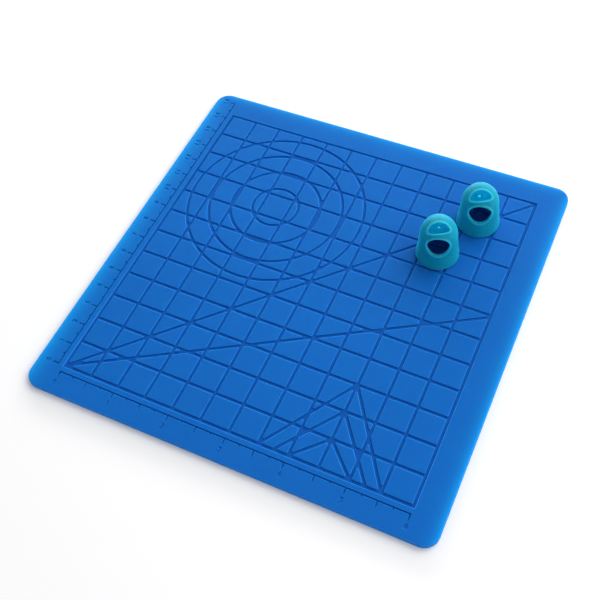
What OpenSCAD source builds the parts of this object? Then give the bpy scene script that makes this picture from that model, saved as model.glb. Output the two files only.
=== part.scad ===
// Silicone craft mat with two finger caps standing on it.
// Origin: centre of the mat's footprint, on the surface that the mat lies on.
// +X runs along the inch ruler, +Y away from it, +Z up. Millimetres.

/* [Mat] */
// Side of the square mat
mat_side = 177.8; // [177.8:0.1:200]
// Thickness of the mat
mat_t = 2.5; // [2:0.1:6]
// Corner radius of the mat's outline
corner_r = 6.35; // [2:0.05:12]

/* [Grid] */
// Pitch of the square grid, half an inch
cell = 12.7; // [12:0.1:13]
// Cells along each side of the grid
cells = 12; // [12:1:12]
// Width of the grid, circle and angle grooves
groove_w = 1.2; // [0.8:0.1:2]
// Depth of those grooves
groove_d = 0.6; // [0.4:0.1:1.5]

/* [Circles] */
// Centre of the circles, in cells from the grid's front left corner
circle_at = [3.5, 8.5]; // [0:0.5:12]
// Radius step from one circle's inner edge to the next
circle_step = 10; // [8:0.5:10]
// Number of circles
circle_count = 4; // [1:1:4]

/* [Angle lines and triangles] */
// Angles of the two lines from the grid's front left corner
line_angles = [30, 45]; // [30:15:45]
// Centre line of the triangles, in cells
triangle_at = 9; // [6:0.5:9.5]
// Half base and height of each nested triangle, in cells
triangles = [[2, 3], [1.5, 2], [1, 1]]; // [1:0.5:3]

/* [Rulers] */
// Width of the ruler and numeral grooves
fine_w = 0.6; // [0.3:0.05:0.7]
// Depth of the ruler and numeral grooves
fine_d = 0.4; // [0.2:0.05:0.8]
// Distance from the grid to each ruler's base line
ruler_gap = 3.175; // [2.5:0.005:4]
// Length of a whole-unit tick
tick_long = 2.8; // [2:0.1:3]
// Length of a part-unit tick
tick_short = 1.2; // [0.8:0.1:1.8]
// Height of a numeral
digit_h = 2.4; // [1.8:0.1:2.6]
// Distance from the ruler's base line to the middle of the numerals
digit_gap = 5; // [4.6:0.1:6]
// Whole inches on the front ruler
inches = 6; // [6:1:6]
// Whole centimetres on the left ruler
centimetres = 16; // [10:1:16]

/* [Finger caps] */
// Height of a finger cap
cap_h = 23; // [20:0.5:30]
// Outer diameter of the cap's base
cap_base_d = 19; // [18:0.5:21]
// Outer diameter of the cap's body, extended down to the base
cap_body_d = 18.4; // [17:0.1:19]
// Outer diameter where the dome starts
cap_dome_d = 16.3; // [15:0.1:17]
// Height of the dome
dome_h = 10.2; // [8:0.1:11]
// Height of the flared foot
flare_h = 5; // [3:0.5:6]
// Wall thickness of a cap
cap_wall = 1.5; // [1:0.1:2]
// Positions of the front and rear cap on the mat
cap_at = [[45, 34.6], [55.5, 57.5]]; // [-60:0.1:60]
// Turn of the caps about Z
cap_turn = 18; // [0:1:40]

/* [Cap openings] */
// Diameter of the window in the front wall
window_d = 9.6; // [6:0.1:10]
// Height of the window's centre above the cap's foot
window_z = 13.6; // [13:0.1:14]
// Half width of the tip opening
tip_r = 5; // [3:0.1:5]
// Slope of the tip opening's axis above the horizontal
tip_slope = 50; // [45:1:60]
// Offset of the tip opening's straight edge, square to its axis
tip_edge = 8.9; // [8.6:0.1:9.4]
// Turn of the tip opening about its own axis
tip_turn = 8; // [0:1:10]
// Diameter of the vent in the back wall
vent_d = 1.8; // [1:0.1:3]
// Height of the vent
vent_z = 9; // [7:0.5:11]

/* [Hidden] */
over = 1;
inch = 25.4;
cm = 10;
grid = cell * cells;
grid_corner = [-grid / 2, -grid / 2];
round_fn = 96;
flare_step = 1;
dome_step = 9;
foot_round = 0.5;
dome_z = cap_h - dome_h;
// How far up its own axis the tip opening starts, clear of the back wall
tip_start = cap_h / 2;

// The bars of each numeral on a grid two units wide and four high:
// each bar is [x1, y1, x2, y2].
left_side = [0, 0, 0, 4];
right_side = [2, 0, 2, 4];
top_bar = [0, 4, 2, 4];
middle_bar = [0, 2, 2, 2];
bottom_bar = [0, 0, 2, 0];
DIGITS = [
    [left_side, right_side, top_bar, bottom_bar],
    [[1, 0, 1, 4]],
    [top_bar, [2, 2, 2, 4], middle_bar, [0, 0, 0, 2], bottom_bar],
    [top_bar, middle_bar, bottom_bar, right_side],
    [[0, 2, 0, 4], middle_bar, right_side],
    [top_bar, [0, 2, 0, 4], middle_bar, [2, 0, 2, 2], bottom_bar],
    [top_bar, left_side, middle_bar, [2, 0, 2, 2], bottom_bar],
    [top_bar, right_side],
    [left_side, right_side, top_bar, middle_bar, bottom_bar],
    [top_bar, [0, 2, 0, 4], middle_bar, right_side, bottom_bar]
];
digit_unit = (digit_h - fine_w) / 4;
digit_pitch = 2 * digit_unit + 2 * fine_w;

// Outer radius of the cap below the dome: a straight taper and a flared foot
function cap_r(z) =
    let (taper = cap_body_d + (cap_dome_d - cap_body_d) * z / dome_z)
    let (flare = (cap_base_d - cap_body_d) * (1 + cos(180 * min(z / flare_h, 1))) / 2)
    (taper + flare) / 2;

// A groove's outline: a bar of width w from a to b, lengthened by extra at both ends
module bar(a, b, w, extra = 0) {
    run = b - a;
    translate(a)
        rotate(atan2(run[1], run[0]))
            translate([-extra, -w / 2])
                square([norm(run) + 2 * extra, w]);
}

module rounded_square(side, r) {
    square([side - 2 * r, side], center = true);
    square([side, side - 2 * r], center = true);
    for (x = [-1, 1], y = [-1, 1])
        translate([x, y] * (side / 2 - r))
            circle(r, $fn = round_fn);
}

module grid_lines() {
    for (i = [0:cells]) {
        bar([i * cell, 0], [i * cell, grid], groove_w, groove_w / 2);
        bar([0, i * cell], [grid, i * cell], groove_w, groove_w / 2);
    }
}

module circles() {
    for (i = [1:circle_count])
        translate(circle_at * cell)
            difference() {
                circle(i * circle_step + groove_w, $fn = round_fn);
                circle(i * circle_step, $fn = round_fn);
            }
}

module angle_lines() {
    for (a = line_angles)
        bar([0, 0], [grid, grid * tan(a)], groove_w);
}

// A triangle on the grid's front line, moved out by grow square to its sides
module grown_triangle(half_base, height, grow) {
    side = norm([half_base, height]);
    b = half_base + grow * side / height;
    h = height + grow * side / half_base;
    polygon([[-b, 0], [b, 0], [0, h]]);
}

module triangle_lines() {
    for (t = triangles * cell)
        translate([triangle_at * cell, 0])
            difference() {
                grown_triangle(t[0], t[1], groove_w / 2);
                grown_triangle(t[0], t[1], -groove_w / 2);
            }
}

module digit(n) {
    for (b = DIGITS[n])
        bar([b[0] - 1, b[1] - 2] * digit_unit, [b[2] - 1, b[3] - 2] * digit_unit, fine_w, fine_w / 2);
}

module number(n) {
    if (n < 10)
        digit(n);
    else {
        translate([-digit_pitch / 2, 0])
            digit(floor(n / 10));
        translate([digit_pitch / 2, 0])
            digit(n % 10);
    }
}

// A ruler along +X, with its ticks and numerals on the side of +Y (1) or -Y (-1)
module ruler(unit, count, parts, side) {
    bar([0, 0], [unit * count, 0], fine_w, fine_w / 2);
    for (i = [0:count * parts]) {
        tick = i % 2 == 0 ? tick_long : tick_short;
        bar([i * unit / parts, 0], [i * unit / parts, side * tick], fine_w);
    }
    for (i = [0:count])
        translate([i * unit, side * digit_gap])
            number(i);
}

module mat() {
    color("royalblue")
        difference() {
            linear_extrude(mat_t)
                rounded_square(mat_side, corner_r);
            translate([grid_corner[0], grid_corner[1], mat_t - groove_d])
                linear_extrude(groove_d + over) {
                    grid_lines();
                    circles();
                    angle_lines();
                    triangle_lines();
                }
            translate([grid_corner[0], grid_corner[1], mat_t - fine_d])
                linear_extrude(fine_d + over) {
                    translate([0, -ruler_gap])
                        ruler(inch, inches, 4, -1);
                    translate([-ruler_gap, 0])
                        rotate(90)
                            ruler(cm, centimetres, 2, 1);
                }
        }
}

module cap_shell() {
    foot = [for (z = [flare_step:flare_step:flare_h]) z];
    outer = concat(
        [[cap_base_d / 2 - foot_round, 0], [cap_base_d / 2, foot_round]],
        [for (z = foot) [cap_r(z), z]],
        [for (a = [0:dome_step:90]) [cap_dome_d / 2 * cos(a), dome_z + dome_h * sin(a)]]
    );
    inner = concat(
        [for (a = [90:-dome_step:0])
            [(cap_dome_d / 2 - cap_wall) * cos(a), dome_z + (dome_h - cap_wall) * sin(a)]],
        [[cap_r(flare_h) - cap_wall, flare_h], [cap_base_d / 2 - cap_wall, 0]]
    );
    rotate_extrude($fn = round_fn)
        polygon(concat(outer, inner));
}

// Half a disc with its straight edge down, cut up through the dome along its own axis
module tip_opening() {
    rotate([90 - tip_slope, 0, 0])
        translate([0, tip_edge, tip_start])
            rotate(tip_turn)
                linear_extrude(cap_h)
                    intersection() {
                        circle(tip_r, $fn = round_fn);
                        translate([-tip_r, 0])
                            square([2 * tip_r, tip_r]);
                    }
}

module finger_cap(i) {
    color("darkturquoise")
        translate([cap_at[i][0], cap_at[i][1], mat_t])
            rotate(cap_turn)
                difference() {
                    cap_shell();
                    translate([0, 0, window_z])
                        rotate([90, 0, 0])
                            cylinder(d = window_d, h = cap_base_d, $fn = round_fn);
                    tip_opening();
                    translate([0, 0, vent_z])
                        rotate([-90, 0, 0])
                            cylinder(d = vent_d, h = cap_base_d, $fn = round_fn);
                }
}

module front_finger_cap() finger_cap(0);
module rear_finger_cap() finger_cap(1);

mat();
front_finger_cap();
rear_finger_cap();
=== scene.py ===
"""Looks of the silicone craft mat and its two finger caps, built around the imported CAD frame.

Shapes are made in millimetres and scaled to metres as they become meshes. The mat's grooves,
rulers and numerals are moulded with rounded lips, and the caps are moulded shells with beaded
openings.
"""

import math

import bpy
import numpy as np
from mathutils import Matrix, Vector
from mathutils.geometry import delaunay_2d_cdt


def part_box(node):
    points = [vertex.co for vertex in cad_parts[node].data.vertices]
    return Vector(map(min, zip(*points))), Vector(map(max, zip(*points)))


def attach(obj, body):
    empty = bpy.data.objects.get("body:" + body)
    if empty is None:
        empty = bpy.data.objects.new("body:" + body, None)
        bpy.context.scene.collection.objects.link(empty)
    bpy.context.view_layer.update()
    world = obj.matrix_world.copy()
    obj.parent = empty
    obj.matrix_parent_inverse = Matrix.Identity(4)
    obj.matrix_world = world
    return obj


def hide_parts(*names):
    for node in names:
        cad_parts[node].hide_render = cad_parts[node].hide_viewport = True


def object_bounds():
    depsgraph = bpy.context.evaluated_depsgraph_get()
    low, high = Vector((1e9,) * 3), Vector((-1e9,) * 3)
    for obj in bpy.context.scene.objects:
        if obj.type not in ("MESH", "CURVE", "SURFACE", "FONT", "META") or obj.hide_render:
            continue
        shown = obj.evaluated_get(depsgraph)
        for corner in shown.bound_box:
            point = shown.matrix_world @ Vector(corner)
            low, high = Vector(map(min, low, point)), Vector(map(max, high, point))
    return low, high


MM = 0.001

# ---- Mat, in millimetres, as in the part's source ----
CELL = 12.7
CELLS = 12
GRID = CELL * CELLS
GROOVE_W = 1.2
GROOVE_D = 0.6
CIRCLE_AT = (3.5, 8.5)
CIRCLE_STEP = 10
CIRCLE_COUNT = 4
LINE_ANGLES = (30, 45)
TRIANGLE_AT = 9
TRIANGLES = ((2, 3), (1.5, 2), (1, 1))
FINE_W = 0.6
FINE_D = 0.4
RULER_GAP = 3.175
TICK_LONG = 2.8
TICK_SHORT = 1.2
DIGIT_H = 2.4
DIGIT_GAP = 5
INCH = 25.4
INCHES = 6
INCH_PARTS = 4
CM = 10
CENTIMETRES = 16
CM_PARTS = 2
CORNER_R = 6.35
# Pitch of a number's digits, a little less than in the part's source
DIGIT_PITCH = 1.9

# ---- Roundings of the moulded mat, in millimetres ----
LIP_R = 0.35
FLOOR_R = 0.2
FINE_LIP_R = 0.1
FINE_FLOOR_R = 0.05
RIM_R = 0.5
FOOT_R = 0.3
# Width of the flat strip that the mesh keeps beside every lip
FLAT_EDGE = 0.05
# The smallest area that stands between grooves, and the closest points of a groove's outline
SMALLEST_PATCH = 0.15
CLOSEST_POINTS = 0.03
FINE_SMALLEST_PATCH = 0.02
FINE_CLOSEST_POINTS = 0.09

# ---- Finger caps, in millimetres, as in the part's source ----
CAP_TURN = math.radians(18)
CAP_BODY_D = 18.4
CAP_DOME_D = 16.3
DOME_H = 10.2
FLARE_H = 5
CAP_WALL = 1.5
WINDOW_D = 9.6
WINDOW_Z = 13.6
TIP_R = 5
TIP_SLOPE = math.radians(50)
TIP_EDGE = 8.9
TIP_START = 11.5
TIP_TURN = math.radians(8)
VENT_D = 1.8
VENT_Z = 9

# ---- Roundings of the moulded caps, in millimetres ----
# Height at which the foot is widest, and the radius of the tip opening's sagging lower edge
FOOT_SWELL_Z = 1.8
TIP_SAG_R = 17
# The rolled bead round the window, tip opening and vent: how far its middle lies from the
# opening's edge and outside the wall's middle, and its radius
BEADS = ((0.35, 0.62, 0.36), (0.15, 0.62, 0.45), (0.35, -0.4, 0.6))
# How softly an opening's edge and its bead run into the wall, and the tip opening's two corners
EDGE_BLEND = 0.4
BEAD_BLEND = 0.2
TIP_CORNER_BLEND = 1.2
# How far up from the foot, and how far across a bead, the lip is painted pale with painted light
# that stands in for light coming through it
PAINTED_FOOT_LIGHT = 1.1
PAINTED_BEAD_LIGHT = 0.8
# Spacing of the caps' mesh, and the room that is left round the cap for it
NET_STEP = 0.22
NET_MARGIN = 0.6
# The step that the field's slope is taken over, the least square of that slope that counts, and
# the longest pull that follows from it
NET_NUDGE = 0.01
NET_LEAST_SLOPE = 0.2
NET_LONGEST_PULL = 0.2

# ---- Painted light and shade of the mat, in millimetres ----
# How far the painted edge light reaches in from the left edge, and from the back and right ones
LEFT_PAINTED_LIGHT_REACH = 3.2
BACK_PAINTED_LIGHT_REACH = 2
# Depth at which the painted highlight on a lip is full, and the depths over which painted shade
# darkens a groove
PAINTED_HIGHLIGHT_DEPTH = 0.05
PAINTED_SHADE_DEPTHS = (0.1, 0.3)
# Distances from a ruler groove's floor over which its own painted shade fades out
TICK_SHADE_FADE = (0.02, 0.1)
# Distance past the ticks over which the painted shade of grooves fades out
TICK_FADE = 0.2

# ---- Colours, linear ----
MAT_BLUE = (0.005, 0.137, 0.50)
MAT_BLUE_LIGHTER = (0.005, 0.147, 0.53)
# Painted light: the paler colour of the mat's left, back and right edges
MAT_PAINTED_EDGE_LIGHT = (0.006, 0.36, 0.85)
# Painted highlight on the lips, and painted shade in the grooves
MAT_PAINTED_LIP_HIGHLIGHT = (0.02, 0.27, 0.78)
MAT_PAINTED_GROOVE_SHADE = (0.002, 0.085, 0.41)
# Painted shade on the floors of the ruler grooves
MAT_PAINTED_TICK_SHADE = (0.001, 0.06, 0.31)
CAP_TEAL = (0.004, 0.28, 0.41)
CAP_TEAL_LIGHTER = (0.006, 0.32, 0.46)
# Painted light on the caps' inner faces, and on their lips and foot
CAP_PAINTED_INSIDE_LIGHT = (0.03, 0.52, 0.8)
CAP_PAINTED_RIM_LIGHT = (0.05, 0.62, 0.8)
CAP_SHEEN = (0.05, 0.75, 1)
PAPER = (0.97, 0.97, 0.98)

# ---- Studio ----
# Azimuth and elevation in degrees, distance, width and height in metres, and power in watts
LIGHTS = {
    "back_softbox": (150, 38, 1.2, 1.2, 1.2, 13),
    "back_strip": (207, 11, 1.5, 1.8, 0.25, 20),
    "side_fill": (80, 35, 1.2, 0.8, 0.8, 3.5),
}
WORLD_STRENGTH = 0.43
# How far the floor reaches each way, in millimetres
FLOOR_REACH = 3000
# The camera's direction and roll in degrees, its distance and the point on the mat that it is
# aimed at in metres, and its lens
CAMERA_AZIMUTH = 30.05
CAMERA_ELEVATION = 53.31
CAMERA_ROLL = 6.5
CAMERA_DISTANCE = 0.4208
CAMERA_AIM = (-0.01057, 0.01272)
CAMERA_LENS = 57.54
CAMERA_SENSOR = 36
CAMERA_SHIFT = -0.08


# ---- Outlines in the plane ----

def strip(a, b, half, extra=0.0):
    """Corners of the straight strip from a to b, lengthened by extra at both ends."""
    a, b = np.array(a, float), np.array(b, float)
    along = (b - a) / np.linalg.norm(b - a)
    side = np.array([-along[1], along[0]]) * half
    a, b = a - along * extra, b + along * extra
    return [a - side, b - side, b + side, a + side]


def ring_strips(centre, radius, half, count=128):
    """A circular groove as short pieces that share their ends."""
    turn = np.linspace(0, 2 * math.pi, count + 1)
    rays = np.stack([np.cos(turn), np.sin(turn)], 1)
    inner = np.array(centre) + rays * (radius - half)
    outer = np.array(centre) + rays * (radius + half)
    return [[inner[i], outer[i], outer[i + 1], inner[i + 1]] for i in range(count)]


def pen_stroke(a, b, half, corners=16):
    """What a round pen of radius half covers when it is drawn from a to b."""
    a, b = np.array(a, float), np.array(b, float)
    heading = math.atan2(*(b - a)[::-1])
    turns = [2 * math.pi * (k + 0.5) / corners for k in range(corners)]
    turns.sort(key=lambda t: (t - heading + math.pi / 2) % (2 * math.pi))
    return [
        (b if math.cos(t - heading) > 0 else a) + half * np.array([math.cos(t), math.sin(t)])
        for t in turns
    ]


def arc(centre, radii, start, end, steps=8):
    """Points on an ellipse from one angle to another, in degrees."""
    turn = np.radians(np.linspace(start, end, steps + 1))
    return [
        (centre[0] + radii[0] * math.cos(t), centre[1] + radii[1] * math.sin(t)) for t in turn
    ]


def numeral_paths():
    """Pen paths of the numerals 0 to 9, one unit high, about their middles."""
    bowl = arc((0, -0.2), (0.3, 0.3), 0, 360, 14)
    return [
        [arc((0, 0), (0.3, 0.5), 0, 360, 16)],
        [[(0, 0.5), (0, -0.5)]],
        [arc((0, 0.22), (0.29, 0.28), 165, -35, 8) + [(-0.3, -0.5)], [(-0.3, -0.5), (0.32, -0.5)]],
        [[(-0.28, 0.5), (0.26, 0.5), (-0.04, 0.1)] + arc((0, -0.2), (0.31, 0.3), 80, -150, 8)],
        [[(0.14, 0.5), (-0.33, -0.18), (0.38, -0.18)], [(0.14, 0.5), (0.14, -0.5)]],
        [[(0.28, 0.5), (-0.22, 0.5), (-0.25, 0)] + arc((0, -0.18), (0.31, 0.32), 128, -145, 8)],
        [bowl, [(0.2, 0.5), (-0.12, 0.24), (-0.29, -0.12)]],
        [[(-0.3, 0.5), (0.3, 0.5), (-0.06, -0.5)]],
        [arc((0, 0.25), (0.24, 0.25), 0, 360, 12), arc((0, -0.24), (0.29, 0.26), 0, 360, 14)],
        [[(-x, -y) for x, y in bowl], [(-0.2, -0.5), (0.12, -0.24), (0.29, 0.12)]],
    ]


def number_strokes(value, centre, turn, half):
    """Pen strokes of a whole number about centre, turned by turn."""
    digits = [int(c) for c in str(value)]
    height = DIGIT_H - FINE_W
    cos, sin = math.cos(turn), math.sin(turn)
    paths = numeral_paths()
    strokes = []
    for place, digit in enumerate(digits):
        shift = (place - (len(digits) - 1) / 2) * DIGIT_PITCH
        for path in paths[digit]:
            local = [(x * height + shift, y * height) for x, y in path]
            spots = [
                (centre[0] + x * cos - y * sin, centre[1] + x * sin + y * cos) for x, y in local
            ]
            strokes += [pen_stroke(p, q, half) for p, q in zip(spots, spots[1:])]
    return strokes


def ruler_groups(origin, turn, side, unit, count, parts, half):
    """A ruler's base line with its ticks, and then each of its numbers, as groups of strokes."""
    cos, sin = math.cos(turn), math.sin(turn)

    def place(x, y):
        return (origin[0] + x * cos - y * sin, origin[1] + x * sin + y * cos)

    scale = [strip(place(0, 0), place(unit * count, 0), half, half)]
    for i in range(count * parts + 1):
        tick = TICK_LONG if i % 2 == 0 else TICK_SHORT
        x = i * unit / parts
        scale.append(strip(place(x, 0), place(x, side * tick), half))
    numbers = [
        number_strokes(i, place(i * unit, side * DIGIT_GAP), turn, half) for i in range(count + 1)
    ]
    return [scale] + numbers


def groove_strips(half):
    """The grid, circles, angle lines and triangles, about the grid's front left corner."""
    strips = []
    for i in range(CELLS + 1):
        strips.append(strip((i * CELL, 0), (i * CELL, GRID), half, half))
        strips.append(strip((0, i * CELL), (GRID, i * CELL), half, half))
    for i in range(1, CIRCLE_COUNT + 1):
        centre = [c * CELL for c in CIRCLE_AT]
        strips += ring_strips(centre, i * CIRCLE_STEP + GROOVE_W / 2, half)
    for angle in LINE_ANGLES:
        strips.append(strip((0, 0), (GRID, GRID * math.tan(math.radians(angle))), half))
    for half_base, height in TRIANGLES:
        apex = (TRIANGLE_AT * CELL, height * CELL)
        for foot in (TRIANGLE_AT - half_base, TRIANGLE_AT + half_base):
            strips.append(strip((foot * CELL, 0), apex, half))
    return strips


# ---- Moulded grooves: outlines, lips, walls and floors ----

def clean_loop(loop, closest, straight=0.004):
    """The loop without doubled points and without points in the middle of a straight run."""
    kept = []
    for p in loop:
        if not kept or np.linalg.norm(p - kept[-1]) > closest:
            kept.append(p)
    while len(kept) > 1 and np.linalg.norm(kept[0] - kept[-1]) <= closest:
        kept.pop()
    loop = np.array(kept)
    if len(loop) < 3:
        return loop
    before = loop - np.roll(loop, 1, 0)
    after = np.roll(loop, -1, 0) - loop
    turn = before[:, 0] * after[:, 1] - before[:, 1] * after[:, 0]
    turn = turn / np.linalg.norm(before, axis=1) / np.linalg.norm(after, axis=1)
    forward = (before * after).sum(1) > 0
    return loop[~((np.abs(turn) < straight) & forward)]


def loop_area(loop):
    """Area inside a loop, positive if it runs anticlockwise."""
    after = np.roll(loop, -1, 0)
    return (loop[:, 0] * after[:, 1] - loop[:, 1] * after[:, 0]).sum() / 2


def union_loops(polygons, smallest, closest):
    """Edges of the area that the polygons cover together, each with the uncovered side on its left.
    An uncovered patch smaller than smallest is left out, and so are points closer than closest."""
    points = [Vector(p) for polygon in polygons for p in polygon]
    faces, first = [], 0
    for polygon in polygons:
        faces.append(list(range(first, first + len(polygon))))
        first += len(polygon)
    made = delaunay_2d_cdt(points, [], faces, 0, 1e-5)
    spots, triangles, sources = made[0], made[2], made[5]
    edges = set()
    for triangle, source in zip(triangles, sources):
        if source:
            edges.update(zip(triangle, triangle[1:] + triangle[:1]))
    following = {b: a for a, b in edges if (b, a) not in edges}
    loops = []
    while following:
        start = at = next(iter(following))
        walk = []
        while at in following:
            walk.append(np.array(spots[at]))
            at = following.pop(at)
        if at == start and len(walk) > 2:
            loops.append(clean_loop(walk, closest))
    return [loop for loop in loops if len(loop) > 2 and not 0 < loop_area(loop) < smallest]


def outward_vectors(loop, round_step=math.radians(18)):
    """Points of a loop, and for each the way it moves as the loop grows to its right by one unit.
    Corners that open to the right are repeated, so that they grow into round arcs."""
    edge = np.roll(loop, -1, 0) - loop
    edge /= np.linalg.norm(edge, axis=1)[:, None]
    normal = np.stack([edge[:, 1], -edge[:, 0]], 1)
    points, vectors = [], []
    for i, p in enumerate(loop):
        n0, n1 = normal[i - 1], normal[i]
        turn = math.atan2(n0[0] * n1[1] - n0[1] * n1[0], n0 @ n1)
        if turn < round_step * 1.4:
            points.append(p)
            vectors.append((n0 + n1) / (1 + n0 @ n1))
            continue
        steps = math.ceil(turn / round_step)
        start = math.atan2(n0[1], n0[0])
        for k in range(steps + 1):
            t = start + turn * k / steps
            points.append(p)
            vectors.append((math.cos(t), math.sin(t)))
    return np.array(points), np.array(vectors)


def fillet(width, drop, steps, hollow=False):
    """Outward and downward moves of a quarter round, from its top edge to its bottom edge."""
    turns = [math.pi / 2 * k / steps for k in range(steps + 1)]
    if hollow:
        return [(width * (1 - math.cos(t)), drop * math.sin(t)) for t in turns]
    return [(width * math.sin(t), drop * (1 - math.cos(t))) for t in turns]


class Sheet:
    """Vertices and faces of one moulded sheet, gathered ring by ring."""

    def __init__(self):
        self.points = []
        self.faces = []

    def ring(self, outline, z):
        first = len(self.points)
        self.points += [(x, y, z) for x, y in outline]
        return list(range(first, len(self.points)))

    def band(self, upper, lower):
        for i in range(len(upper)):
            j = (i + 1) % len(upper)
            self.faces.append((upper[i], lower[i], lower[j], upper[j]))

    def slope(self, loop, profile):
        """Rings from a loop along a profile of (outward, height) pairs, of which the first and
        the last are returned."""
        points, vectors = outward_vectors(loop)
        rings = [self.ring(points + vectors * out, z) for out, z in profile]
        for upper, lower in zip(rings, rings[1:]):
            self.band(upper, lower)
        return rings[0], rings[-1]

    def fill(self, rings, up=True):
        """A flat face between rings, where a ring inside another is a hole, and so on inwards."""
        order = [i for ring in rings for i in ring]
        flat = [Vector(self.points[i][:2]) for i in order]
        areas, first = [], 0
        for ring in rings:
            corners = list(range(first, first + len(ring)))
            turn = loop_area(np.array([flat[i] for i in corners]))
            areas.append(corners if turn > 0 else corners[::-1])
            first += len(ring)
        made = delaunay_2d_cdt(flat, [], areas, 0, 1e-7)
        for face, inside_of in zip(made[2], made[5]):
            if len(inside_of) % 2:
                corners = [order[made[3][v][0]] for v in face]
                self.faces.append(corners if up else corners[::-1])


def mat_outline(side, inset, steps=12):
    """The mat's rounded square, drawn inset from its edge."""
    radius = CORNER_R - inset
    middle = side / 2 - CORNER_R
    points = []
    for quarter in range(4):
        turn = math.radians(90 * quarter)
        centre = (
            middle * (1 if quarter in (0, 3) else -1),
            middle * (1 if quarter in (0, 1) else -1),
        )
        for k in range(steps + 1):
            t = turn + math.pi / 2 * k / steps
            points.append((centre[0] + radius * math.cos(t), centre[1] + radius * math.sin(t)))
    return np.array(points)


def groove_profile(top, depth, lip, floor):
    """From the flat top over the lip, down the wall and into the groove's floor."""
    over = [(FLAT_EDGE + out, top - down) for out, down in fillet(lip, lip, 4)]
    foot = [
        (FLAT_EDGE + lip + out, top - depth + floor - down)
        for out, down in fillet(floor, floor, 3, hollow=True)
    ]
    return over + foot


def rim_profile(top):
    """From the flat top over the outer rim, down the side and under the foot."""
    over = [(FLAT_EDGE + out, top - down) for out, down in fillet(RIM_R, RIM_R, 6)]
    under = [
        (FLAT_EDGE + RIM_R - FOOT_R + FOOT_R * math.cos(t), FOOT_R - FOOT_R * math.sin(t))
        for t in (math.pi / 2 * k / 4 for k in range(5))
    ]
    return over + under


def mat_sheet(side, top):
    """The whole mat as one closed sheet."""
    sheet = Sheet()
    corner = np.array([-GRID / 2, -GRID / 2])
    half = GROOVE_W / 2 + LIP_R + FLAT_EDGE
    fine_half = FINE_W / 2 + FINE_LIP_R + FLAT_EDGE
    wide = union_loops(groove_strips(half), SMALLEST_PATCH, CLOSEST_POINTS)
    groups = ruler_groups((0, -RULER_GAP), 0, -1, INCH, INCHES, INCH_PARTS, fine_half)
    groups += ruler_groups((-RULER_GAP, 0), math.pi / 2, 1, CM, CENTIMETRES, CM_PARTS, fine_half)
    fine = []
    for group in groups:
        fine += union_loops(group, FINE_SMALLEST_PATCH, FINE_CLOSEST_POINTS)

    wide_profile = groove_profile(top, GROOVE_D, LIP_R, FLOOR_R)
    fine_profile = groove_profile(top, FINE_D, FINE_LIP_R, FINE_FLOOR_R)
    wide_ends = [sheet.slope(loop + corner, wide_profile) for loop in wide]
    fine_ends = [sheet.slope(loop + corner, fine_profile) for loop in fine]
    rim_start, rim_end = sheet.slope(mat_outline(side, RIM_R + FLAT_EDGE), rim_profile(top))

    sheet.fill([rim_start] + [start for start, _ in wide_ends + fine_ends])
    sheet.fill([end for _, end in wide_ends])
    sheet.fill([end for _, end in fine_ends])
    sheet.fill([rim_end], up=False)
    return sheet


# ---- Moulded caps: a distance field and its surface ----

def smooth_min(a, b, blend):
    """The lower of two fields, rounded over blend where they meet."""
    share = np.clip(0.5 + 0.5 * (b - a) / blend, 0, 1)
    return b * (1 - share) + a * share - blend * share * (1 - share)


def smooth_max(a, b, blend):
    return -smooth_min(-a, -b, blend)


def cap_middle(base_d, height):
    """(radius, height) points along the middle of the cap's wall, from its foot to its tip."""
    dome_z = height - DOME_H
    path = []
    for z in np.linspace(CAP_WALL / 2, dome_z, 24):
        taper = CAP_BODY_D + (CAP_DOME_D - CAP_BODY_D) * z / dome_z
        swell = min(abs(z - FOOT_SWELL_Z) / (FLARE_H - FOOT_SWELL_Z), 1)
        flare = (base_d - CAP_BODY_D) * (1 + math.cos(math.pi * swell)) / 2
        path.append(((taper + flare - CAP_WALL) / 2, z))
    for t in np.radians(np.linspace(5, 90, 18)):
        radius = (CAP_DOME_D - CAP_WALL) / 2 * math.cos(t)
        path.append((radius, dome_z + (DOME_H - CAP_WALL / 2) * math.sin(t)))
    return np.array(path)


def path_distance(path, radius, z):
    """Signed distance from the wall's middle line, positive outside the cap."""
    best = np.full(radius.shape, 1e9)
    signed = np.zeros(radius.shape)
    for a, b in zip(path, path[1:]):
        run = b - a
        share = np.clip(((radius - a[0]) * run[0] + (z - a[1]) * run[1]) / (run @ run), 0, 1)
        dr, dz = radius - a[0] - share * run[0], z - a[1] - share * run[1]
        away = np.hypot(dr, dz)
        nearer = away < best
        best = np.where(nearer, away, best)
        signed = np.where(nearer, np.where(dr * run[1] - dz * run[0] >= 0, away, -away), signed)
    return signed


def opening_distances(p):
    """How far each point lies from the edge of the window, the tip opening and the vent,
    negative in the opening, and how far it lies outside the part of the cap that has it."""
    x, y, z = p[:, 0], p[:, 1], p[:, 2]
    window = np.hypot(x, z - WINDOW_Z) - WINDOW_D / 2
    across = y * math.sin(TIP_SLOPE) + z * math.cos(TIP_SLOPE)
    along = z * math.sin(TIP_SLOPE) - y * math.cos(TIP_SLOPE)
    side = x * math.cos(TIP_TURN) + (across - TIP_EDGE) * math.sin(TIP_TURN)
    rise = (across - TIP_EDGE) * math.cos(TIP_TURN) - x * math.sin(TIP_TURN)
    arch = np.hypot(side, rise) - TIP_R
    sill = np.hypot(side, rise - TIP_SAG_R) - TIP_SAG_R
    tip = smooth_max(arch, sill, TIP_CORNER_BLEND)
    vent = np.hypot(x, z - VENT_Z) - VENT_D / 2
    return (window, y), (tip, TIP_START - along), (vent, -y)


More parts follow.
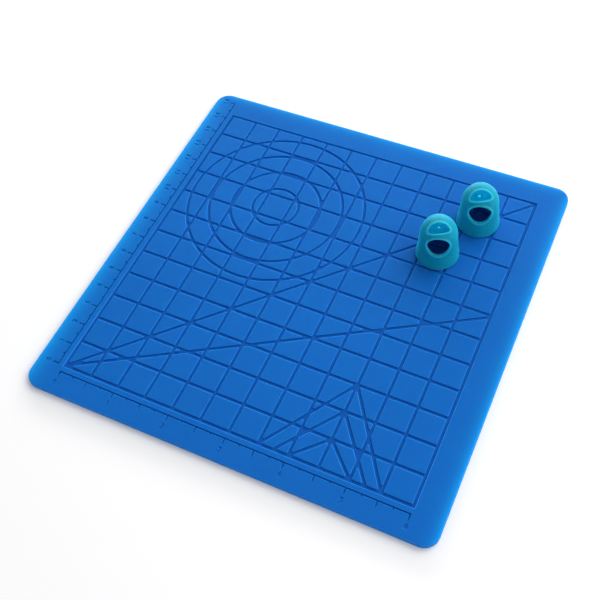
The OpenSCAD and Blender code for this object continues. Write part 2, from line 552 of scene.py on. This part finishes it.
def cap_field(base_d, height):
    """The cap's signed distance field, about the middle of its foot, with its front towards -Y."""
    path = cap_middle(base_d, height)

    def field(p):
        wall = path_distance(path, np.hypot(p[:, 0], p[:, 1]), p[:, 2])
        shell = np.abs(wall) - CAP_WALL / 2
        for (edge, beyond), bead in zip(opening_distances(p), BEADS):
            offset, lift, radius = bead
            shell = smooth_max(shell, -np.maximum(edge, beyond), EDGE_BLEND)
            roll = np.hypot(edge - offset, wall - lift) - radius
            shell = smooth_min(shell, np.maximum(roll, beyond), BEAD_BLEND)
        return shell

    return field


def inside_share(p, base_d, height):
    """1 on the cap's inner face, 0 on its outer one, and between them on its lips."""
    wall = path_distance(cap_middle(base_d, height), np.hypot(p[:, 0], p[:, 1]), p[:, 2])
    return np.clip(0.5 - wall / CAP_WALL, 0, 1)


def rim_share(p):
    """How much painted light a point gets on a thin lip or the foot, from 0 to 1, standing in for
    light coming through.
    """
    share = np.exp(-((p[:, 2] / PAINTED_FOOT_LIGHT) ** 2))
    for (edge, beyond), (offset, _, radius) in zip(opening_distances(p), BEADS):
        lip = np.exp(-(((edge - offset) / (PAINTED_BEAD_LIGHT * radius)) ** 2)) * (beyond < 0)
        share = np.maximum(share, lip)
    return share


def net_quads(inside, number):
    """The faces between crossed cells, one for each grid edge that passes through the surface."""
    quads = []
    for a in range(3):
        b, c = (a + 1) % 3, (a + 2) % 3
        low = [slice(1, -1)] * 3
        low[a] = slice(None, -1)
        high = list(low)
        high[a] = slice(1, None)
        leaving = inside[tuple(low)] & ~inside[tuple(high)]
        entering = ~inside[tuple(low)] & inside[tuple(high)]
        step_b, step_c = np.eye(3, dtype=int)[b], np.eye(3, dtype=int)[c]
        for change, order in ((leaving, (3, 1, 0, 2)), (entering, (2, 0, 1, 3))):
            at = np.argwhere(change) + step_b + step_c
            cells = [at, at - step_b, at - step_c, at - step_b - step_c]
            index = [number[tuple(cell.T)] for cell in cells]
            quads.append(np.stack([index[k] for k in (order[0], order[3], order[2], order[1])], 1))
    return np.concatenate(quads)


def pull_to_surface(points, field, rounds):
    """Points moved along the field's slope until they lie on its surface."""
    for _ in range(rounds):
        value = np.clip(field(points), -NET_LONGEST_PULL, NET_LONGEST_PULL)
        slope = np.stack(
            [field(points + NET_NUDGE * e) - field(points - NET_NUDGE * e) for e in np.eye(3)], 1
        ) / (2 * NET_NUDGE)
        length = np.maximum((slope ** 2).sum(1), NET_LEAST_SLOPE)
        points = points - (value / length)[:, None] * slope
    return points


def relax(points, quads):
    """Each point moved to the middle of its neighbours."""
    total, count = np.zeros_like(points), np.zeros(len(points))
    for i in range(4):
        a, b = quads[:, i], quads[:, (i + 1) % 4]
        for here, there in ((a, b), (b, a)):
            np.add.at(total, here, points[there])
            np.add.at(count, here, 1)
    return total / count[:, None]


def surface_net(field, low, high, step):
    """The field's zero surface as evenly spaced quads."""
    axes = [np.arange(lo, hi + step, step) for lo, hi in zip(low, high)]
    grid = np.stack(np.meshgrid(*axes, indexing="ij"), -1)
    inside = field(grid.reshape(-1, 3)).reshape(grid.shape[:3]) < 0
    corners = sum(
        inside[i:i - 1 or None, j:j - 1 or None, k:k - 1 or None].astype(int)
        for i in (0, 1) for j in (0, 1) for k in (0, 1)
    )
    crossed = (corners > 0) & (corners < 8)
    number = np.full(crossed.shape, -1)
    number[crossed] = np.arange(crossed.sum())
    points = np.array(low) + (np.argwhere(crossed) + 0.5) * step
    quads = net_quads(inside, number)
    points = pull_to_surface(points, field, 3)
    for _ in range(4):
        points = pull_to_surface(relax(points, quads), field, 1)
    return pull_to_surface(points, field, 2), quads


# ---- Objects ----

def mesh_object(name, points, faces, material):
    """A smooth-shaded object from points in millimetres."""
    mesh = bpy.data.meshes.new(name)
    mesh.from_pydata((np.array(points, float) * MM).tolist(), [], [list(f) for f in faces])
    mesh.polygons.foreach_set("use_smooth", np.ones(len(mesh.polygons), bool))
    mesh.materials.append(material)
    piece = bpy.data.objects.new(name, mesh)
    bpy.context.scene.collection.objects.link(piece)
    return piece


def keep_flats_flat(piece):
    """Shades the large flat faces flat, and rolls the light over the small rounded ones."""
    weighted = piece.modifiers.new("even_shading", "WEIGHTED_NORMAL")
    weighted.mode = "FACE_AREA"
    weighted.weight = 100


def make_mat(material):
    """The mat, moulded about the middle of its footprint."""
    low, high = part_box("mat")
    sheet = mat_sheet((high.x - low.x) / MM, (high.z - low.z) / MM)
    piece = mesh_object("craft_mat", sheet.points, sheet.faces, material)
    piece.location = ((low.x + high.x) / 2, (low.y + high.y) / 2, low.z)
    keep_flats_flat(piece)
    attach(piece, "mat")
    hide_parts("mat")


def make_caps(material):
    """Both caps, from one shell that has its front towards -Y before it is turned."""
    low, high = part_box("front_finger_cap")
    base_d, height = (high.x - low.x) / MM, (high.z - low.z) / MM
    reach = base_d / 2 + NET_MARGIN
    lowest, highest = (-reach, -reach, -NET_MARGIN), (reach, reach, height + NET_MARGIN)
    points, quads = surface_net(cap_field(base_d, height), lowest, highest, NET_STEP)
    shares = {"rim": rim_share(points), "inside": inside_share(points, base_d, height)}
    for body, node in (("front_cap", "front_finger_cap"), ("rear_cap", "rear_finger_cap")):
        low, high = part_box(node)
        piece = mesh_object(f"{body}_shell", points, quads, material)
        for name, share in shares.items():
            attribute = piece.data.attributes.new(name, "FLOAT", "POINT")
            attribute.data.foreach_set("value", share.astype(np.float32))
        piece.location = ((low.x + high.x) / 2, (low.y + high.y) / 2, low.z)
        piece.rotation_euler = (0, 0, CAP_TURN)
        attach(piece, body)
        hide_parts(node)


# ---- Materials ----

def new_material(name):
    material = bpy.data.materials.new(name)
    material.use_nodes = True
    nodes = material.node_tree.nodes
    return material, nodes, material.node_tree.links, nodes["Principled BSDF"]


def noise(nodes, links, scale, detail, roughness=0.5):
    """A noise pattern fixed to the object."""
    place = nodes.new("ShaderNodeTexCoord")
    pattern = nodes.new("ShaderNodeTexNoise")
    pattern.inputs["Scale"].default_value = scale
    pattern.inputs["Detail"].default_value = detail
    pattern.inputs["Roughness"].default_value = roughness
    links.new(place.outputs["Object"], pattern.inputs["Vector"])
    return pattern.outputs["Fac"]


def remap(nodes, links, value, low, high, to_low, to_high):
    step = nodes.new("ShaderNodeMapRange")
    for key, number in (
        ("From Min", low), ("From Max", high), ("To Min", to_low), ("To Max", to_high)
    ):
        step.inputs[key].default_value = number
    links.new(value, step.inputs["Value"])
    return step.outputs["Result"]


def mix_colour(nodes, links, share, a, b):
    """Mixes two colours, either of which may be a node's output."""
    mix = nodes.new("ShaderNodeMix")
    mix.data_type = "RGBA"
    links.new(share, mix.inputs["Factor"])
    for key, colour in (("A", a), ("B", b)):
        socket = [s for s in mix.inputs if s.name == key and s.type == "RGBA"][0]
        if isinstance(colour, tuple):
            socket.default_value = (*colour, 1)
        else:
            links.new(colour, socket)
    return [s for s in mix.outputs if s.type == "RGBA"][0]


def bump(nodes, links, shader, height, strength, distance):
    lift = nodes.new("ShaderNodeBump")
    lift.inputs["Strength"].default_value = strength
    lift.inputs["Distance"].default_value = distance
    links.new(height, lift.inputs["Height"])
    links.new(lift.outputs["Normal"], shader.inputs["Normal"])


def calculate(nodes, links, operation, a, b=0.0):
    """A Math node, where each of a and b is a number or a node's output."""
    step = nodes.new("ShaderNodeMath")
    step.operation = operation
    for socket, value in zip(step.inputs, (a, b)):
        if isinstance(value, (int, float)):
            socket.default_value = value
        else:
            links.new(value, socket)
    return step.outputs["Value"]


def edge_glow(nodes, links, distance, reach):
    """Share of painted edge light at a distance from an edge, 1 at the edge, standing in for light
    that the edge lets through.
    """
    return calculate(nodes, links, "EXPONENT", calculate(nodes, links, "DIVIDE", distance, -reach))


def mat_silicone(half, top):
    """Translucent blue silicone, with painted light at its edges, painted highlights on its lips
    and painted shade in its grooves. half is half the mat's side, and top its height, in metres.
    """
    material, nodes, links, shader = new_material("mat_silicone")
    place = nodes.new("ShaderNodeTexCoord")
    axes = nodes.new("ShaderNodeSeparateXYZ")
    links.new(place.outputs["Object"], axes.inputs["Vector"])
    axes = axes.outputs

    cloud = remap(nodes, links, noise(nodes, links, 18, 3), 0.3, 0.7, 0, 1)
    colour = mix_colour(nodes, links, cloud, MAT_BLUE, MAT_BLUE_LIGHTER)

    # Painted light: the left, back and right edges are painted paler, as if lit from within by
    # light from behind, and the front one isn't
    from_left = calculate(nodes, links, "ADD", axes["X"], half)
    farthest = calculate(nodes, links, "MAXIMUM", axes["X"], axes["Y"])
    from_back = calculate(nodes, links, "SUBTRACT", half, farthest)
    left_painted_light = edge_glow(nodes, links, from_left, LEFT_PAINTED_LIGHT_REACH * MM)
    back_painted_light = edge_glow(nodes, links, from_back, BACK_PAINTED_LIGHT_REACH * MM)
    painted_edge_share = calculate(nodes, links, "MAXIMUM", left_painted_light, back_painted_light)
    colour = mix_colour(nodes, links, painted_edge_share, colour, MAT_PAINTED_EDGE_LIGHT)

    # Painted highlight and shade: lips are painted paler, and grooves painted darker where shade
    # falls in them, but less on the numerals, which hardly show
    lip = remap(nodes, links, axes["Z"], top, top - PAINTED_HIGHLIGHT_DEPTH * MM, 0, 0.6)
    colour = mix_colour(nodes, links, lip, colour, MAT_PAINTED_LIP_HIGHLIGHT)
    across, along = (calculate(nodes, links, "ABSOLUTE", axes[key]) for key in "XY")
    out = calculate(nodes, links, "MAXIMUM", across, along)
    tick_end = (GRID / 2 + RULER_GAP + TICK_LONG) * MM
    shade_fade = remap(nodes, links, out, tick_end, tick_end + TICK_FADE * MM, 1, 0.3)
    start, end = (top - depth * MM for depth in PAINTED_SHADE_DEPTHS)
    groove_shade = remap(nodes, links, axes["Z"], start, end, 0, 0.82)
    groove_shade = calculate(nodes, links, "MULTIPLY", groove_shade, shade_fade)
    colour = mix_colour(nodes, links, groove_shade, colour, MAT_PAINTED_GROOVE_SHADE)
    # Painted shade: the floors of the ruler grooves are painted darker, and the numerals less so
    level = calculate(nodes, links, "SUBTRACT", axes["Z"], top - FINE_D * MM)
    away = calculate(nodes, links, "ABSOLUTE", level)
    near, far = (distance * MM for distance in TICK_SHADE_FADE)
    fine = remap(nodes, links, away, near, far, 0.8, 0)
    fine = calculate(nodes, links, "MULTIPLY", fine, shade_fade)
    colour = mix_colour(nodes, links, fine, colour, MAT_PAINTED_TICK_SHADE)
    links.new(colour, shader.inputs["Base Color"])

    haze = remap(nodes, links, noise(nodes, links, 900, 4, 0.6), 0.3, 0.7, 0.5, 0.62)
    links.new(haze, shader.inputs["Roughness"])
    bump(nodes, links, shader, noise(nodes, links, 2600, 3), 0.15, 0.0001)
    shader.inputs["Specular IOR Level"].default_value = 0.05
    shader.inputs["Subsurface Weight"].default_value = 0.8
    shader.inputs["Subsurface Radius"].default_value = (0.1, 0.6, 1.0)
    shader.inputs["Subsurface Scale"].default_value = 0.002
    return material


def cap_silicone():
    """Translucent teal silicone, painted paler inside and on the lips and foot, as painted light
    that stands in for light coming through.
    """
    material, nodes, links, shader = new_material("cap_silicone")
    cloud = remap(nodes, links, noise(nodes, links, 160, 3), 0.3, 0.7, 0, 1)
    colour = mix_colour(nodes, links, cloud, CAP_TEAL, CAP_TEAL_LIGHTER)
    # Painted light: the inner face and the lips and foot are painted paler, standing in for light
    # that comes through the thin silicone
    for name, most, painted_light in (("inside", 0.9, CAP_PAINTED_INSIDE_LIGHT), ("rim", 0.5, CAP_PAINTED_RIM_LIGHT)):
        place = nodes.new("ShaderNodeAttribute")
        place.attribute_name = name
        share = calculate(nodes, links, "MULTIPLY", place.outputs["Fac"], most)
        colour = mix_colour(nodes, links, share, colour, painted_light)
    links.new(colour, shader.inputs["Base Color"])
    haze = remap(nodes, links, noise(nodes, links, 1500, 4, 0.6), 0.3, 0.7, 0.42, 0.55)
    links.new(haze, shader.inputs["Roughness"])
    bump(nodes, links, shader, noise(nodes, links, 2600, 3), 0.2, 0.0001)
    shader.inputs["Specular IOR Level"].default_value = 0.08
    shader.inputs["Sheen Weight"].default_value = 0.8
    shader.inputs["Sheen Roughness"].default_value = 0.25
    shader.inputs["Sheen Tint"].default_value = (*CAP_SHEEN, 1)
    shader.inputs["Subsurface Weight"].default_value = 0.9
    shader.inputs["Subsurface Radius"].default_value = (0.15, 0.9, 1.0)
    shader.inputs["Subsurface Scale"].default_value = 0.006
    return material


def floor_paper():
    material, nodes, links, shader = new_material("floor_paper")
    shader.inputs["Base Color"].default_value = (*PAPER, 1)
    shader.inputs["Roughness"].default_value = 0.9
    shader.inputs["Specular IOR Level"].default_value = 0.1
    bump(nodes, links, shader, noise(nodes, links, 300, 4), 0.05, 0.0002)
    return material


# ---- Floor, light and camera ----

def make_floor(level):
    corners = ((-1, -1), (1, -1), (1, 1), (-1, 1))
    points = [(x * FLOOR_REACH, y * FLOOR_REACH, 0) for x, y in corners]
    floor = mesh_object("floor", points, [(0, 1, 2, 3)], floor_paper())
    floor.location.z = level


def area_light(name, azimuth, elevation, distance, width, height, power, aim):
    """A soft light. Azimuth 0 is in front of the object, and 90 to its right."""
    a, e = math.radians(azimuth), math.radians(elevation)
    way = Vector((math.sin(a) * math.cos(e), -math.cos(a) * math.cos(e), math.sin(e)))
    lamp = bpy.data.lights.new(name, "AREA")
    lamp.energy = power
    lamp.shape = "RECTANGLE"
    lamp.size, lamp.size_y = width, height
    light = bpy.data.objects.new(name, lamp)
    light.location = aim + way * distance
    light.rotation_euler = way.to_track_quat("Z", "Y").to_euler()
    bpy.context.scene.collection.objects.link(light)


def make_light(aim):
    world = bpy.data.worlds.new("studio")
    world.use_nodes = True
    background = world.node_tree.nodes["Background"]
    background.inputs["Color"].default_value = (1, 1, 1, 1)
    background.inputs["Strength"].default_value = WORLD_STRENGTH
    bpy.context.scene.world = world
    for name, numbers in LIGHTS.items():
        area_light(name, *numbers, aim)
    bpy.context.scene.view_settings.view_transform = "Standard"


def make_camera(aim):
    azimuth, elevation = math.radians(CAMERA_AZIMUTH), math.radians(CAMERA_ELEVATION)
    roll = math.radians(CAMERA_ROLL)
    back = Vector((
        math.sin(azimuth) * math.cos(elevation),
        -math.cos(azimuth) * math.cos(elevation),
        math.sin(elevation),
    ))
    data = bpy.data.cameras.new("camera")
    data.lens = CAMERA_LENS
    data.sensor_width = CAMERA_SENSOR
    data.shift_y = CAMERA_SHIFT
    data.clip_start = 0.01
    camera = bpy.data.objects.new("camera", data)
    turn = back.to_track_quat("Z", "Y").to_matrix().to_4x4() @ Matrix.Rotation(-roll, 4, "Z")
    camera.matrix_world = Matrix.Translation(aim + back * CAMERA_DISTANCE) @ turn
    bpy.context.scene.collection.objects.link(camera)
    bpy.context.scene.camera = camera


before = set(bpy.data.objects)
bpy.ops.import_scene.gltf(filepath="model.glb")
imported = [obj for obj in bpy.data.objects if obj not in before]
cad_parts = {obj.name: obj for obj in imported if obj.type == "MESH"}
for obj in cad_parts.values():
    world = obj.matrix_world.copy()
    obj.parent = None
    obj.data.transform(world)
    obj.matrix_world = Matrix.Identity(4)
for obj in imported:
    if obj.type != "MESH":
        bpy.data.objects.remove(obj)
cad_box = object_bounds()
mat_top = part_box("mat")[1].z
make_camera(Vector((*CAMERA_AIM, mat_top)))
make_light(Vector((0, 0, mat_top)))
make_floor(cad_box[0].z)
make_mat(mat_silicone(cad_box[1].x, mat_top))
make_caps(cap_silicone())
